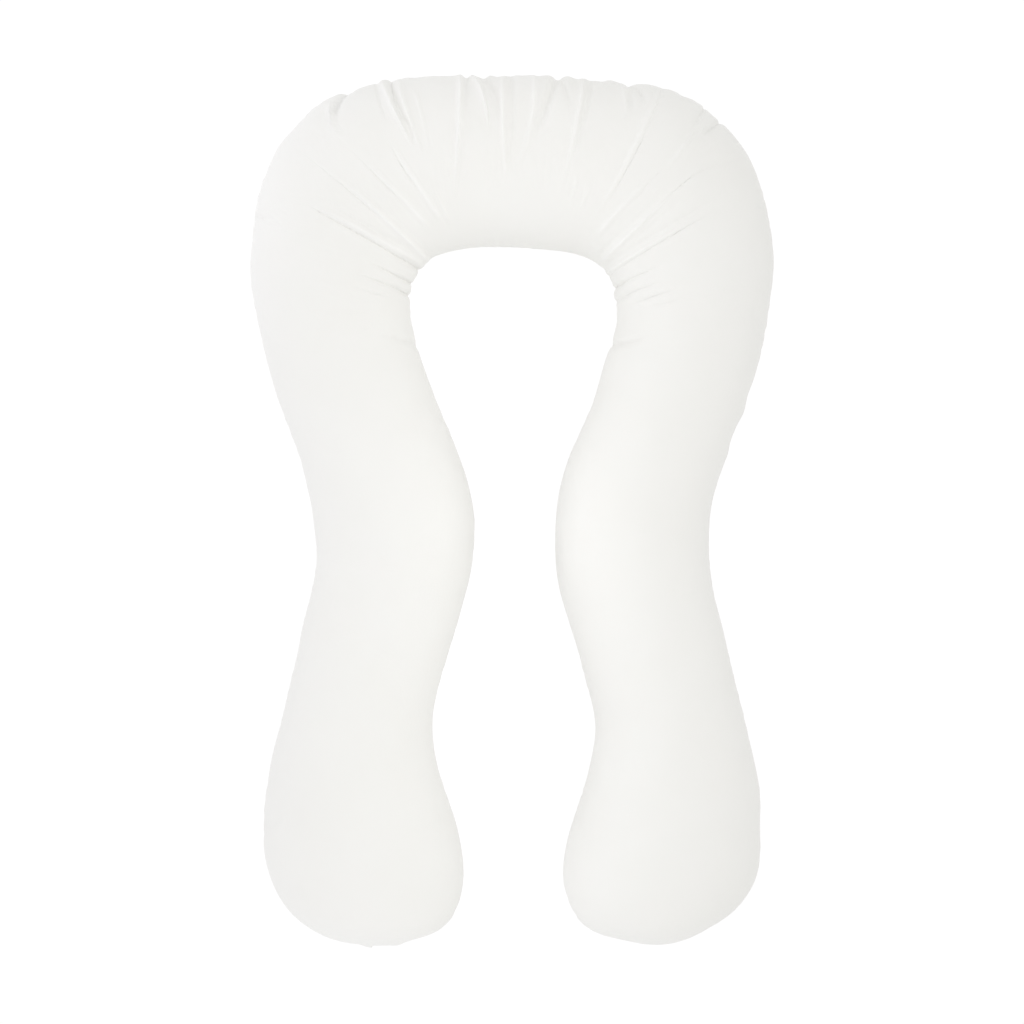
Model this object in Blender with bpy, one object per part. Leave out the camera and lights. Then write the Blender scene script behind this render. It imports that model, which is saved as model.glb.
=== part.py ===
"""U-shaped body pillow: one filled cloth pillow, lying face up on its flattened underside.

Frame: metres, +Z up. The origin is on the surface the pillow lies on, under the middle of its
box. +Y points to the closed crown of the U, -Y to its two feet, +X to its right leg.

The pillow is one closed loft. Each ring of the loft crosses the stuffed tube from the outer
seam line to the inner one, so ring points are (station along the tube, point round the ring).
"""

from collections import namedtuple

import bpy
import numpy as np

MM = 0.001

# Driving sizes, in metres.
SEAM_HEIGHT = 0.086  # side seam above the surface the pillow lies on
PRESS = 1.22  # underside's depth below the seam, as a share of the crown, before it lies flat
FLATTEN = 0.007  # height over which the underside eases into its flat patch
SEAM_DRAW = 0.005  # how far the side seam is drawn in
SECTION_POWER = 2.25  # 2 is an ellipse, more is a boxier stuffed section
FOLD_REACH = 0.055  # how far a fold runs on past the rim, down the side
FOLD_FADE = 0.050  # depth below the seam at which a fold has died out

# Mesh fineness: degrees of the ring points from the seam, and the ring spacing along the
# outer rim, from each named row on towards the crown.
DEGREES_OVER = [0, 4, 16, 30, 46, 61, 76, 90]
DEGREES_UNDER = [4, 14, 24, 34, 46, 62]
INNER_SEAM = 2 * (len(DEGREES_OVER) - 1)  # the ring point on the inner seam
RING_STEPS = {"toe tip": 0.020, "foot low": 0.048, "arm": 0.018, "corner": 0.0075}
CURVE_STEPS = 16  # points read along each fold's line

CLOTH_COLOUR = (0.90, 0.895, 0.875, 1.0)
CLOTH_ROUGHNESS = 0.85

# The cover's pattern is cut on the fold, so one half is given, from the toe to the crown.
# All in mm. outer and inner: where the seam lines lie in plan, +x away from the fold.
# crown: height of the top above the seam. fill_in: how far the crown sits towards the inside.
# The leans are what the stuffing pushes each seam line outwards on the left half, and inwards
# on the right half. drop: how much further down the left foot reaches, and less the right one.
Row = namedtuple(
    "Row",
    "name outer_x outer_y inner_x inner_y crown fill_in outer_lean inner_lean drop",
)
HALF_PATTERN = [
    Row("toe tip", 233, -723, 233, -723, 0, 0, 0, 0, 2),
    Row("toe", 296, -711, 166, -712, 46, 0, 3, -1, 2),
    Row("ball", 362, -671, 108, -680, 80, 3, 0, -4, 1),
    Row("foot low", 403, -609, 83, -609, 98, 8, -1, -1, 0),
    Row("foot wide", 414, -529, 94, -527, 102, 8, 0, -4, 0),
    Row("ankle", 406, -438, 122, -440, 99, 7, -1, -3, 0),
    Row("calf neck", 388, -357, 134, -360, 94, 4, -1, -3, 0),
    Row("calf", 366, -267, 124, -293, 92, 3, -1, -2, 0),
    Row("knee", 346, -180, 105, -227, 92, 8, -1, -2, 0),
    Row("thigh", 330, -97, 77, -130, 94, 18, 0, -2, 0),
    Row("waist", 330, -18, 68, -28, 96, 28, 1, -4, 0),
    Row("hip", 341, 42, 85, 76, 95, 25, 1, -4, 0),
    Row("rib", 362, 112, 126, 172, 92, 14, 0, -4, 0),
    Row("chest", 385, 172, 149, 242, 92, 6, 0, -3, 0),
    Row("underarm", 410, 252, 166, 298, 93, 0, -1, -3, 0),
    Row("arm", 430, 351, 171, 338, 96, -4, 0, -2, 0),
    Row("shoulder", 435, 421, 168, 362, 99, -8, 0, -1, 0),
    Row("shoulder top", 425, 501, 165, 378, 102, -10, 1, -2, 0),
    Row("corner low", 404, 566, 158, 393, 104, -10, 2, -2, 0),
    Row("corner", 367, 629, 148, 406, 105, -8, 1, -1, 0),
    Row("corner high", 319, 675, 135, 416, 105, -6, 3, 1, 0),
    Row("corner end", 259, 701, 119, 423, 104, -4, 1, 2, 0),
    Row("crown side", 186, 714, 97, 430, 102, -2, 3, 2, 0),
    Row("crown near", 103, 722, 62, 435, 100, 0, 1, 2, 0),
    Row("crown", 0, 725, 0, 437, 99, 0, 0, 0, 0),
]

# The folds that show from a step away, in mm, seen from above. Each starts where it is deep,
# at the outer seam or at an inner corner, passes its bend and dies out at its end. rim is how
# far it lifts the rim where it starts and rise how far it lifts the face, negative for a trough.
Fold = namedtuple("Fold", "name rim rise half_width x0 y0 x_bend y_bend x1 y1")
FOLDS = [
    # Gathers of the outer seam over the crown, from left to right.
    Fold("left pit lip", 2, 4, 9, -302, 688, -300, 662, -303, 625),
    Fold("left pit", -5, -9, 11, -272, 702, -283, 676, -292, 648),
    Fold("left gather lip", 3, 4, 8, -212, 714, -198, 668, -172, 622),
    Fold("left gather", -2, -7, 8, -197, 717, -180, 665, -140, 585),
    Fold("left gather ridge", 2, 4, 9, -178, 717, -165, 660, -130, 560),
    Fold("crown ridge 1", 2, 5, 8, -91, 724, -87, 650, -92, 535),
    Fold("crown trough 1", -2, -3, 8, -76, 724, -73, 660, -76, 575),
    Fold("crown ridge 2", 2, 4, 8, -61, 724, -50, 695, -42, 640),
    Fold("crown trough 2", -2, -4, 9, -45, 724, -34, 690, -30, 630),
    Fold("crown ridge 3", 2, 5, 8, -26, 724, -14, 660, -13, 552),
    Fold("crown trough 3", -2, -4, 8, -10, 725, 3, 670, 4, 600),
    Fold("crown ridge 4", 2, 4, 9, 33, 722, 33, 650, 8, 569),
    Fold("crown trough 4", -2, -5, 9, 50, 722, 48, 670, 34, 605),
    Fold("crown ridge 5", 2, 5, 9, 98, 720, 106, 660, 83, 547),
    Fold("crown trough 5", -2, -5, 8, 124, 718, 121, 670, 104, 590),
    Fold("crown ridge 6", 2, 3, 13, 163, 716, 184, 690, 190, 640),
    Fold("right gather ridge", 4, 5, 12, 222, 712, 205, 630, 142, 505),
    Fold("right gather", -3, -6, 8, 253, 703, 219, 618, 150, 512),
    Fold("right pit lip", 3, 3, 12, 300, 690, 292, 660, 275, 630),
    Fold("right pit", -4, -8, 11, 346, 662, 326, 648, 300, 622),
    # Creases that run out from the inner corners, and the fullness between them.
    Fold("left crease 1", 0, 4, 8, -108, 445, -158, 545, -209, 621),
    Fold("left crease 2", 0, 4, 8, -118, 440, -192, 530, -263, 593),
    Fold("left crease 3", 0, -5, 8, -128, 425, -224, 505, -339, 584),
    Fold("left crease 3 fullness", 0, 4, 9, -136, 414, -235, 490, -335, 560),
    Fold("left crease 4 fullness", 1, 4, 9, -142, 414, -235, 466, -325, 515),
    Fold("left crease 4", 1, -7, 8, -146, 398, -235, 449, -330, 500),
    Fold("left crease 5", 0, -5, 7, -152, 388, -196, 396, -238, 413),
    Fold("left crease 6", 0, -5, 7, -158, 370, -207, 378, -262, 391),
    Fold("right crease 1", 0, 4, 8, 122, 440, 196, 512, 275, 596),
    Fold("right crease 3", 0, -5, 8, 130, 420, 240, 505, 362, 582),
    Fold("right crease 3 fullness", 0, 4, 9, 124, 430, 230, 520, 345, 592),
    Fold("right crease 4 fullness", 1, 4, 9, 140, 410, 232, 456, 325, 507),
    Fold("right crease 4", 1, -7, 8, 143, 392, 238, 440, 330, 495),
    Fold("right crease 5", 0, -5, 7, 150, 378, 196, 386, 236, 404),
    Fold("right crease 6", 0, -5, 7, 156, 360, 207, 366, 258, 384),
]


def clear_scene():
    """Removes whatever the scene starts with."""
    for thing in list(bpy.data.objects):
        bpy.data.objects.remove(thing, do_unlink=True)


def full_rows():
    """The half pattern laid out as left half, crown and right half.

    Returns (names, table), the table with a line of outer x, y, inner x, y, crown and fill_in
    in metres for each row, from the left toe to the right toe.
    """
    names, lines = [], []
    for side, rows in ((-1, HALF_PATTERN), (1, HALF_PATTERN[-2::-1])):
        for row in rows:
            outer = np.array([side * row.outer_x, row.outer_y])
            inner = np.array([side * row.inner_x, row.inner_y])
            across = outer - inner
            across = across / max(np.linalg.norm(across), 1)  # a toe tip has no chord
            drop = np.array([0, side * row.drop])
            outer = outer - side * row.outer_lean * across + drop
            inner = inner - side * row.inner_lean * across + drop
            names.append(row.name)
            lines.append([*outer, *inner, row.crown, row.fill_in])
    return names, np.array(lines) * MM


def with_toes(table):
    """The table with one more row past each toe tip.

    Past a tip the two seam lines change places and the crown changes sign, which makes the
    seam one smooth line round the toe and the crown a round cap.
    """

    def beyond(row):
        return np.array([row[2], row[3], row[0], row[1], -row[4], -row[5]])

    return np.vstack([beyond(table[1]), table, beyond(table[-2])])


def smooth_curve(knots, values, at):
    """A natural cubic spline through values at knots, read at the places in at."""
    gaps = np.diff(knots)[:, None]
    slopes = np.diff(values, axis=0) / gaps
    count = len(knots)
    system = np.eye(count)
    target = np.zeros_like(values)
    for k in range(1, count - 1):
        system[k, k - 1 : k + 2] = [gaps[k - 1, 0], 2 * (gaps[k - 1, 0] + gaps[k, 0]), gaps[k, 0]]
        target[k] = 6 * (slopes[k] - slopes[k - 1])
    bend = np.linalg.solve(system, target)
    k = np.clip(np.searchsorted(knots, at, side="right") - 1, 0, count - 2)
    gap = gaps[k]
    left = (knots[k + 1] - at)[:, None]
    right = (at - knots[k])[:, None]
    return (
        (bend[k] * left**3 + bend[k + 1] * right**3) / (6 * gap)
        + (values[k] / gap - bend[k] * gap / 6) * left
        + (values[k + 1] / gap - bend[k + 1] * gap / 6) * right
    )


def ring_table():
    """Outer x, y, inner x, y, crown and fill_in of each ring, from the first after the left
    toe tip to the last before the right one, with the two tips' places."""
    names, rows = full_rows()
    table = with_toes(rows)
    steps = np.linalg.norm(np.diff(table[:, 0:2], axis=0), axis=1)
    steps += np.linalg.norm(np.diff(table[:, 2:4], axis=0), axis=1)
    knots = np.concatenate([[0.0], np.cumsum(steps / 2)])

    spans = len(names) - 1
    places = []
    for k in range(spans):
        reached = names[: min(k, spans - 1 - k) + 1]
        step = [size for name, size in RING_STEPS.items() if name in reached][-1]
        long = np.linalg.norm(rows[k + 1, 0:2] - rows[k, 0:2])
        count = max(2, int(np.ceil(long / step)))
        places.append(np.linspace(knots[k + 1], knots[k + 2], count, endpoint=False))
    places = np.concatenate(places)[1:]  # without the left tip itself
    return smooth_curve(knots, table, places), rows[0, 0:2], rows[-1, 0:2]


def soft_floor(height):
    """height, but never under 0, easing into 0 over FLATTEN."""
    eased = (height + FLATTEN) ** 2 / (4 * FLATTEN)
    return np.where(height > FLATTEN, height, np.where(height < -FLATTEN, 0.0, eased))


def stuffed_rings(rings):
    """Points of every ring: a superellipse over the chord between its two seam points.

    Point 0 is on the outer seam. The points go over the crown to the inner seam and come back
    along the underside, which is still round here.
    """
    over = DEGREES_OVER + [180 - degrees for degrees in DEGREES_OVER[-2::-1]]
    under = [180 + degrees for degrees in DEGREES_UNDER]
    under += [360 - degrees for degrees in DEGREES_UNDER[::-1]]
    turn = np.radians(over + under).round(9)
    across = np.sign(np.cos(turn)) * np.abs(np.cos(turn)) ** (2 / SECTION_POWER)
    up = np.sign(np.sin(turn)) * np.abs(np.sin(turn)) ** (2 / SECTION_POWER)
    up = np.where(up < 0, up * PRESS, up)

    middle = (rings[:, 0:2] + rings[:, 2:4]) / 2
    half = (rings[:, 0:2] - rings[:, 2:4]) / 2
    width = np.linalg.norm(half, axis=1)
    shift = (rings[:, 5] / width)[:, None] * (up > 0)
    place = across * (1 + shift * np.sign(across)) - shift
    points = np.empty((len(rings), len(turn), 3))
    points[:, :, 0:2] = middle[:, None] + half[:, None] * place[..., None]
    points[:, :, 2] = SEAM_HEIGHT + rings[:, 4:5] * up
    return points


def outward(points):
    """The outward unit normal at each ring point, from its neighbours along and round it."""
    along = np.gradient(points, axis=0)
    around = (np.roll(points, -1, axis=1) - np.roll(points, 1, axis=1)) / 2
    normal = np.cross(around, along)
    return normal / np.maximum(np.linalg.norm(normal, axis=2, keepdims=True), 1e-9)


def fold_line(fold):
    """Points along a fold in plan, on a curve through its three points, in metres. The first
    point lies past the fold's start, to carry it over the rim and down the side."""
    start = np.array([fold.x0, fold.y0]) * MM
    bend = np.array([fold.x_bend, fold.y_bend]) * MM
    end = np.array([fold.x1, fold.y1]) * MM
    t = np.linspace(0, 1, CURVE_STEPS)[:, None]
    line = start * (2 * t - 1) * (t - 1) + bend * 4 * t * (1 - t) + end * t * (2 * t - 1)
    back = (line[0] - line[1]) / np.linalg.norm(line[0] - line[1])
    return np.vstack([start + back * FOLD_REACH, line])


def fold_rise(fold, plan):
    """How far a fold lifts each plan point.

    Across the fold it is a soft ridge or trough. Along it, with s from 0 at its start to 1 at
    its end, it is rim (1 - 4 s)^2 up to s = 1/4, plus rise sin(pi s^0.6).
    """
    line = fold_line(fold)
    steps = np.linalg.norm(np.diff(line, axis=0), axis=1)
    before = np.concatenate([[0.0], np.cumsum(steps)]) - steps[0]
    gap = np.full(plan.shape[:-1], np.inf)
    reached = np.zeros(plan.shape[:-1])
    for k in range(len(line) - 1):
        step = line[k + 1] - line[k]
        share = np.clip(((plan - line[k]) @ step) / (step @ step), 0, 1)
        away = np.linalg.norm(plan - line[k] - share[..., None] * step, axis=-1)
        nearer = away < gap
        gap = np.where(nearer, away, gap)
        reached = np.where(nearer, before[k] + share * steps[k], reached)
    s = np.clip(reached / before[-1], 0, 1)
    along = fold.rim * np.clip(1 - 4 * s, 0, 1) ** 2 + fold.rise * np.sin(np.pi * s**0.6)
    return along * MM * np.exp(-((gap / (fold.half_width * MM)) ** 2))


def sewn(points):
    """The rings with both seams drawn in and every fold raised or sunk along the normal."""
    rise = sum(fold_rise(fold, points[:, :, 0:2]) for fold in FOLDS)
    below = np.clip((SEAM_HEIGHT - points[:, :, 2]) / FOLD_FADE, 0, 1)
    rise = rise * (1 - below)
    rise[:, [0, INNER_SEAM]] -= SEAM_DRAW
    return points + outward(points) * rise[..., None]


def loft(points, tips):
    """Vertices and faces of the closed loft: quads between rings, and fans at the two tips."""
    count, around = points.shape[:2]
    vertices = np.vstack([points.reshape(-1, 3), tips])
    ring = np.arange(count * around).reshape(count, around)
    ahead = np.roll(ring, -1, axis=1)
    faces = [
        quad
        for k in range(count - 1)
        for quad in zip(ring[k], ahead[k], ahead[k + 1], ring[k + 1])
    ]
    first, last = count * around, count * around + 1
    faces += [(first, ahead[0, j], ring[0, j]) for j in range(around)]
    faces += [(last, ring[-1, j], ahead[-1, j]) for j in range(around)]
    return vertices, [tuple(int(v) for v in face) for face in faces]


def cotton():
    """Off-white cotton cover."""
    material = bpy.data.materials.new("cotton")
    material.use_nodes = True
    shader = material.node_tree.nodes["Principled BSDF"]
    shader.inputs["Base Color"].default_value = CLOTH_COLOUR
    shader.inputs["Roughness"].default_value = CLOTH_ROUGHNESS
    shader.inputs["Metallic"].default_value = 0.0
    return material


def pillow():
    """The stuffed pillow, one closed solid."""
    rings, left_tip, right_tip = ring_table()
    points = sewn(stuffed_rings(rings))
    points[:, :, 2] = soft_floor(points[:, :, 2])
    tips = np.array([[*left_tip, SEAM_HEIGHT], [*right_tip, SEAM_HEIGHT]])
    tips[:, 1] += SEAM_DRAW
    vertices, faces = loft(points, tips)
    vertices[:, 0:2] -= (vertices[:, 0:2].min(axis=0) + vertices[:, 0:2].max(axis=0)) / 2

    mesh = bpy.data.meshes.new("pillow")
    mesh.from_pydata(vertices.tolist(), [], faces)
    mesh.validate()
    mesh.shade_smooth()
    mesh.materials.append(cotton())
    body = bpy.data.objects.new("pillow", mesh)
    bpy.context.scene.collection.objects.link(body)
    return body


clear_scene()
pillow()
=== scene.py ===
"""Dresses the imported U-shaped body pillow: its sewn cotton cover, the floor, light and camera.

Frame: metres, +Z up, the origin on the surface that the pillow lies on, under the middle of its
box. +Y points to the closed crown of the U, -Y to its two feet and +X to its right leg.

The cover is one closed surface on a grid: stations run along the stuffed tube from the left toe
over the crown to the right toe, and ring points run round it from the outer seam over the face
to the inner seam and back along the underside.
"""

from __future__ import annotations

import logging
import math
from dataclasses import dataclass, field, replace
from enum import Enum

import bpy
import numpy as np
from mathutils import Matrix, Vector
from numpy.typing import NDArray

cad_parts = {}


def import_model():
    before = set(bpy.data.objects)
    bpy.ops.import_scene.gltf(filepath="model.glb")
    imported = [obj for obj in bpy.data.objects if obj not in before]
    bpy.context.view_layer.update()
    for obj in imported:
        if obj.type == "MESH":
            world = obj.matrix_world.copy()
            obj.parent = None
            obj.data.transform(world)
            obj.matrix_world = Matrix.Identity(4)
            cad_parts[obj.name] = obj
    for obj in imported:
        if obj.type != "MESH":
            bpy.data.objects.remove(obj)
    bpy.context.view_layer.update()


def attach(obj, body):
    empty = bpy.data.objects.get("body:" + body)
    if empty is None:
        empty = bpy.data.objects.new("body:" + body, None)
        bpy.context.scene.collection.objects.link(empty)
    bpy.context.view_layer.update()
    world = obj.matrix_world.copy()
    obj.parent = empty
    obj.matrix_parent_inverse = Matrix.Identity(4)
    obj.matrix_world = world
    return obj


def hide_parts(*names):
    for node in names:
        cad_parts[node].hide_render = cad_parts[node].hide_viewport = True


Floats = NDArray[np.float64]
Point = tuple[float, float]
Place = tuple[float, float, float]
Tint = tuple[float, float, float]
Colour = tuple[float, float, float, float]
Object = bpy.types.Object
Node = bpy.types.Node
Tree = bpy.types.NodeTree
Socket = bpy.types.NodeSocket
Feeds = dict[str | int, object]

MM = 0.001
TINY = 1e-9
LOG = logging.getLogger("body_pillow")


# -------- The cover's pattern and its folds, in millimetres, as a maker would note them


@dataclass(frozen=True)
class PatternRow:
    """One row of the half pattern, in mm, with x away from the fold the cover is cut on.

    outer and inner are its two seam points in plan, crown is the face's height over the seam,
    and fill_in how far the crown sits towards the inside. lean moves each seam point outwards
    on the left half and inwards on the right one, and drop moves both down on the left one and
    up on the right one. spacing is that of the cover's rings there, along the outer seam.
    """

    name: str
    outer: Point
    inner: Point
    crown: float
    fill_in: float
    lean: Point = (0, 0)
    drop: float = 0
    spacing: float = 8.0


HALF_PATTERN = (
    PatternRow("toe tip", (233, -721), (233, -721), 0, 0, (0, 0), 1, 4.0),
    PatternRow("toe", (296, -709), (166, -710), 46, 0, (3, -1), 1, 4.0),
    PatternRow("ball", (362, -670), (108, -680), 80, 3, (0, -4), 1, 7.0),
    PatternRow("foot low", (404, -609), (83, -609), 98, 8, (-2, -1)),
    PatternRow("foot wide", (415, -529), (94, -527), 102, 8, (-1, -4)),
    PatternRow("ankle", (407, -438), (122, -440), 99, 7, (-2, -3)),
    PatternRow("calf neck", (389, -357), (134, -360), 94, 4, (-2, -3)),
    PatternRow("calf", (366, -267), (124, -293), 92, 3, (-1, -2)),
    PatternRow("knee", (347, -180), (105, -227), 92, 8, (-2, -2)),
    PatternRow("thigh", (330, -97), (77, -130), 94, 18, (-1, -2)),
    PatternRow("waist", (331, -18), (68, -28), 96, 28, (-1, -4)),
    PatternRow("hip", (342, 42), (85, 76), 95, 25, (0, -4)),
    PatternRow("rib", (363, 112), (126, 172), 92, 14, (-1, -4)),
    PatternRow("chest", (386, 172), (149, 242), 92, 6, (-1, -3)),
    PatternRow("underarm", (411, 252), (166, 298), 93, 0, (-2, -3)),
    PatternRow("arm", (430, 351), (171, 338), 96, -4, (0, -2), 0, 4.0),
    PatternRow("shoulder", (435, 421), (168, 362), 99, -8, (0, -1), 0, 2.4),
    PatternRow("shoulder top", (425, 501), (165, 378), 102, -10, (1, -2), 0, 1.8),
    PatternRow("corner low", (404, 566), (158, 393), 104, -10, (2, -2), 0, 1.5),
    PatternRow("corner", (366, 628), (148, 406), 105, -8, (1, -1), 0, 1.4),
    PatternRow("corner high", (318, 673), (135, 417), 105, -6, (2, 1), 0, 1.35),
    PatternRow("corner end", (259, 701), (119, 425), 104, -4, (1, 2), 0, 1.35),
    PatternRow("crown side", (186, 714), (97, 432), 102, -2, (3, 3), 0, 1.35),
    PatternRow("crown near", (103, 721), (62, 437), 100, 0, (1, 3), 0, 1.35),
    PatternRow("crown", (0, 723), (0, 439), 99, 0, (0, 0), 0, 1.35),
)


class Roll(Enum):
    """Where the roll of fullness lies beside its crease, seen along it from its start."""

    LEFT = 1
    RIGHT = -1
    ON_THE_LINE = 0


@dataclass(frozen=True)
class Fold:
    """A crease in the face, a roll of fullness, or both side by side, in mm, seen from above.

    It starts at a seam, passes its bend and dies out at its end. crease is how deep it cuts in,
    half_crease how far it reaches to each side, height and width are the roll's, and fade_in is
    the length over which it grows where it starts on open cloth.
    """

    name: str
    start: Point
    bend: Point
    end: Point
    crease: float = 0.0
    half_crease: float = 3.0
    height: float = 0.0
    width: float = 7.0
    roll: Roll = Roll.ON_THE_LINE
    fade_in: float = 0.0


def roll(
    name: str, start: Point, bend: Point, end: Point, height: float, width: float, fade_in: float = 0.0
) -> Fold:
    """A fold that is a roll of fullness alone."""
    return Fold(name, start, bend, end, height=height, width=width, fade_in=fade_in)


def dip(
    name: str, start: Point, bend: Point, end: Point, depth: float, width: float, fade_in: float = 0.0
) -> Fold:
    """A fold that is a rounded valley alone, between two rolls."""
    return roll(name, start, bend, end, -depth, width, fade_in)


FOLDS = (
    # Gathers of the outer seam over the crown, from left to right.
    Fold("left pit", (-268, 698), (-287, 674), (-291, 648), 9.0, 4.2),
    roll("left pit lip", (-300, 680), (-299, 655), (-297, 622), 3.8, 9, 20),
    dip("left gather edge", (-222, 706), (-215, 670), (-204, 636), 1.8, 9),
    roll("left gather roll", (-215, 711), (-198, 667), (-162, 600), 6.0, 12),
    Fold("left gather", (-201, 716), (-188, 665), (-160, 622), 5.5, 3.5),
    roll("left gather back", (-188, 713), (-172, 651), (-144, 580), 3.2, 11),
    roll("left gather tail", (-161, 698), (-150, 655), (-138, 606), 1.6, 8, 20),
    roll("crown roll 1", (-85, 721), (-87, 620), (-95, 505), 4.4, 11),
    dip("crown dip 1", (-76, 720), (-78, 690), (-81, 650), 2.4, 12),
    roll("crown roll 2", (-68, 722), (-49, 686), (-37, 628), 6.5, 9),
    dip("crown dip 2", (-47, 720), (-31, 695), (-22, 660), 4.5, 15),
    roll("crown roll 3", (-16, 720), (-15, 640), (-8, 530), 3.2, 12),
    dip("crown dip 3", (-1, 718), (-1, 680), (0, 600), 3.0, 15),
    roll("crown roll 4", (36, 720), (31, 633), (-1, 545), 2.4, 11),
    dip("crown groove 4", (73, 716), (57, 670), (41, 624), 6.2, 14),
    dip("crown groove 4 back", (84, 713), (92, 683), (100, 655), 2.2, 8),
    roll("crown roll 5", (118, 713), (104, 623), (80, 528), 2.6, 11),
    dip("crown groove 5", (128, 713), (121, 666), (109, 615), 3.6, 14),
    roll("crown tail 5", (129, 537), (115, 505), (102, 478), 1.5, 8, 20),
    roll("crown tail 5 inner", (105, 552), (101, 525), (90, 498), 1.4, 7, 15),
    roll("crown roll 6", (183, 706), (187, 670), (194, 636), 2.0, 11),
    dip("crown dip 6", (194, 705), (195, 680), (197, 652), 1.8, 14),
    Fold("crown pocket", (197, 705), (211, 690), (221, 664), 3.6, 4),
    Fold("right gather", (248, 698), (215, 612), (163, 518), 0.2, 2.4, 1.0, 8, Roll.RIGHT),
    roll("right gather roll", (238, 687), (182, 560), (122, 464), 2.0, 10, 90),
    Fold("right pit edge", (321, 673), (311, 652), (300, 635), 2.8, 3),
    Fold("right pit", (343, 643), (325, 628), (313, 618), 4.6, 4),
    # Creases and rolls that run out from the left inner corner.
    roll("left crease 1 inner", (-99, 470), (-117, 504), (-134, 535), 1.4, 9, 20),
    roll("left crease 1 roll", (-111, 472), (-159, 541), (-197, 604), 2.8, 12, 20),
    Fold("left crease 1", (-148, 522), (-178, 561), (-212, 622), 0.4, 2.2, fade_in=25),
    roll("left crease 2 roll", (-134, 464), (-187, 519), (-233, 566), 2.9, 12, 20),
    Fold("left crease 2", (-187, 513), (-229, 555), (-276, 601), 1.2, 2.0, fade_in=25),
    dip("left crease 3 above", (-131, 421), (-193, 477), (-250, 531), 1.8, 10, 10),
    roll("left crease 3 roll", (-136, 412), (-200, 471), (-276, 541), 3.4, 11, 12),
    Fold("left crease 3", (-227, 489), (-289, 542), (-357, 594), 1.4, 2.0, fade_in=30),
    dip("left crease 3 under", (-150, 413), (-214, 462), (-290, 520), 2.0, 34, 20),
    dip("left crease 4 above", (-150, 414), (-228, 460), (-318, 515), 3.2, 12, 10),
    Fold("left crease 4", (-157, 402), (-238, 446), (-335, 500), 4.4, 2.4, 4.0, 22, Roll.RIGHT),
    Fold("left crease 4 mouth", (-157, 402), (-180, 413), (-206, 427), 2.6, 2.4),
    Fold("left crease 5", (-159, 376), (-188, 387), (-230, 407), 5.0, 2.6),
    Fold("left crease 5 mouth", (-159, 376), (-170, 380), (-182, 384), 4.0, 3.0),
    Fold("left crease 6", (-164, 357), (-203, 372), (-252, 388), 4.8, 3.0),
    Fold("left crease 6 mouth", (-164, 357), (-175, 361), (-187, 366), 3.6, 3.2),
    Fold("left crease 7", (-194, 347), (-230, 358), (-270, 369), 3.0, 3.2, fade_in=25),
    Fold("left crease 8", (-163, 278), (-186, 285), (-220, 291), 4.6, 3.4),
    # The same from the right inner corner.
    roll("right crease 1 roll", (140, 453), (181, 499), (236, 551), 2.8, 11, 12),
    Fold("right crease 1", (202, 509), (228, 541), (256, 568), 0.4, 2.0, fade_in=15),
    roll("right crease 1 far", (254, 564), (273, 586), (301, 626), 1.4, 9, 20),
    dip("right crease 2 above", (139, 416), (203, 477), (249, 517), 2.0, 11, 10),
    roll("right crease 2 roll", (144, 410), (210, 469), (266, 522), 3.0, 10, 10),
    Fold("right crease 2", (215, 471), (292, 544), (366, 574), 1.7, 2.2, fade_in=50),
    dip("right crease 2 under", (178, 429), (226, 465), (275, 508), 1.2, 10, 30),
    dip("right crease 4 above", (148, 401), (234, 453), (330, 509), 2.5, 11, 10),
    Fold("right crease 4", (156, 387), (240, 438), (316, 482), 1.9, 2.4, 2.2, 12, Roll.LEFT),
    Fold("right crease 5", (167, 370), (195, 382), (234, 399), 4.8, 2.6),
    Fold("right crease 5 mouth", (167, 370), (178, 375), (189, 379), 2.4, 3.0),
    Fold("right crease 6", (170, 347), (205, 363), (246, 376), 3.5, 2.6),
    Fold("right crease 7", (198, 341), (231, 352), (269, 364), 4.2, 3.4, fade_in=18),
    Fold("right crease 7 under", (232, 338), (256, 342), (282, 350), 2.6, 3.2, fade_in=15),
    Fold("right crease 8", (171, 277), (192, 279), (220, 286), 5.6, 3.4),
)


@dataclass(frozen=True)
class Pucker:
    """A small scallop of a seam, in mm: its x, how far it stands out, its width, and its y.

    One with no y is on the seam beyond crown_from, and its width is measured along x.
    """

    x: float
    lift: float
    half_width: float
    y: float | None = None
    crown_from: float = 550.0

    def scallop(self, seam: Floats) -> Floats:
        """Works out the scallop: lift exp(-(distance / half_width)^2).

        Args:
            seam: A seam's points in metres, shape (n, 2) or (n, 3).

        Returns:
            How far it moves each of them, in metres.
        """
        away = seam[:, 0] - self.x * MM
        if self.y is None:
            away[seam[:, 1] < self.crown_from * MM] = np.inf
        else:
            away = np.hypot(away, seam[:, 1] - self.y * MM)
        return self.lift * MM * bell(away / (self.half_width * MM))


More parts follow.
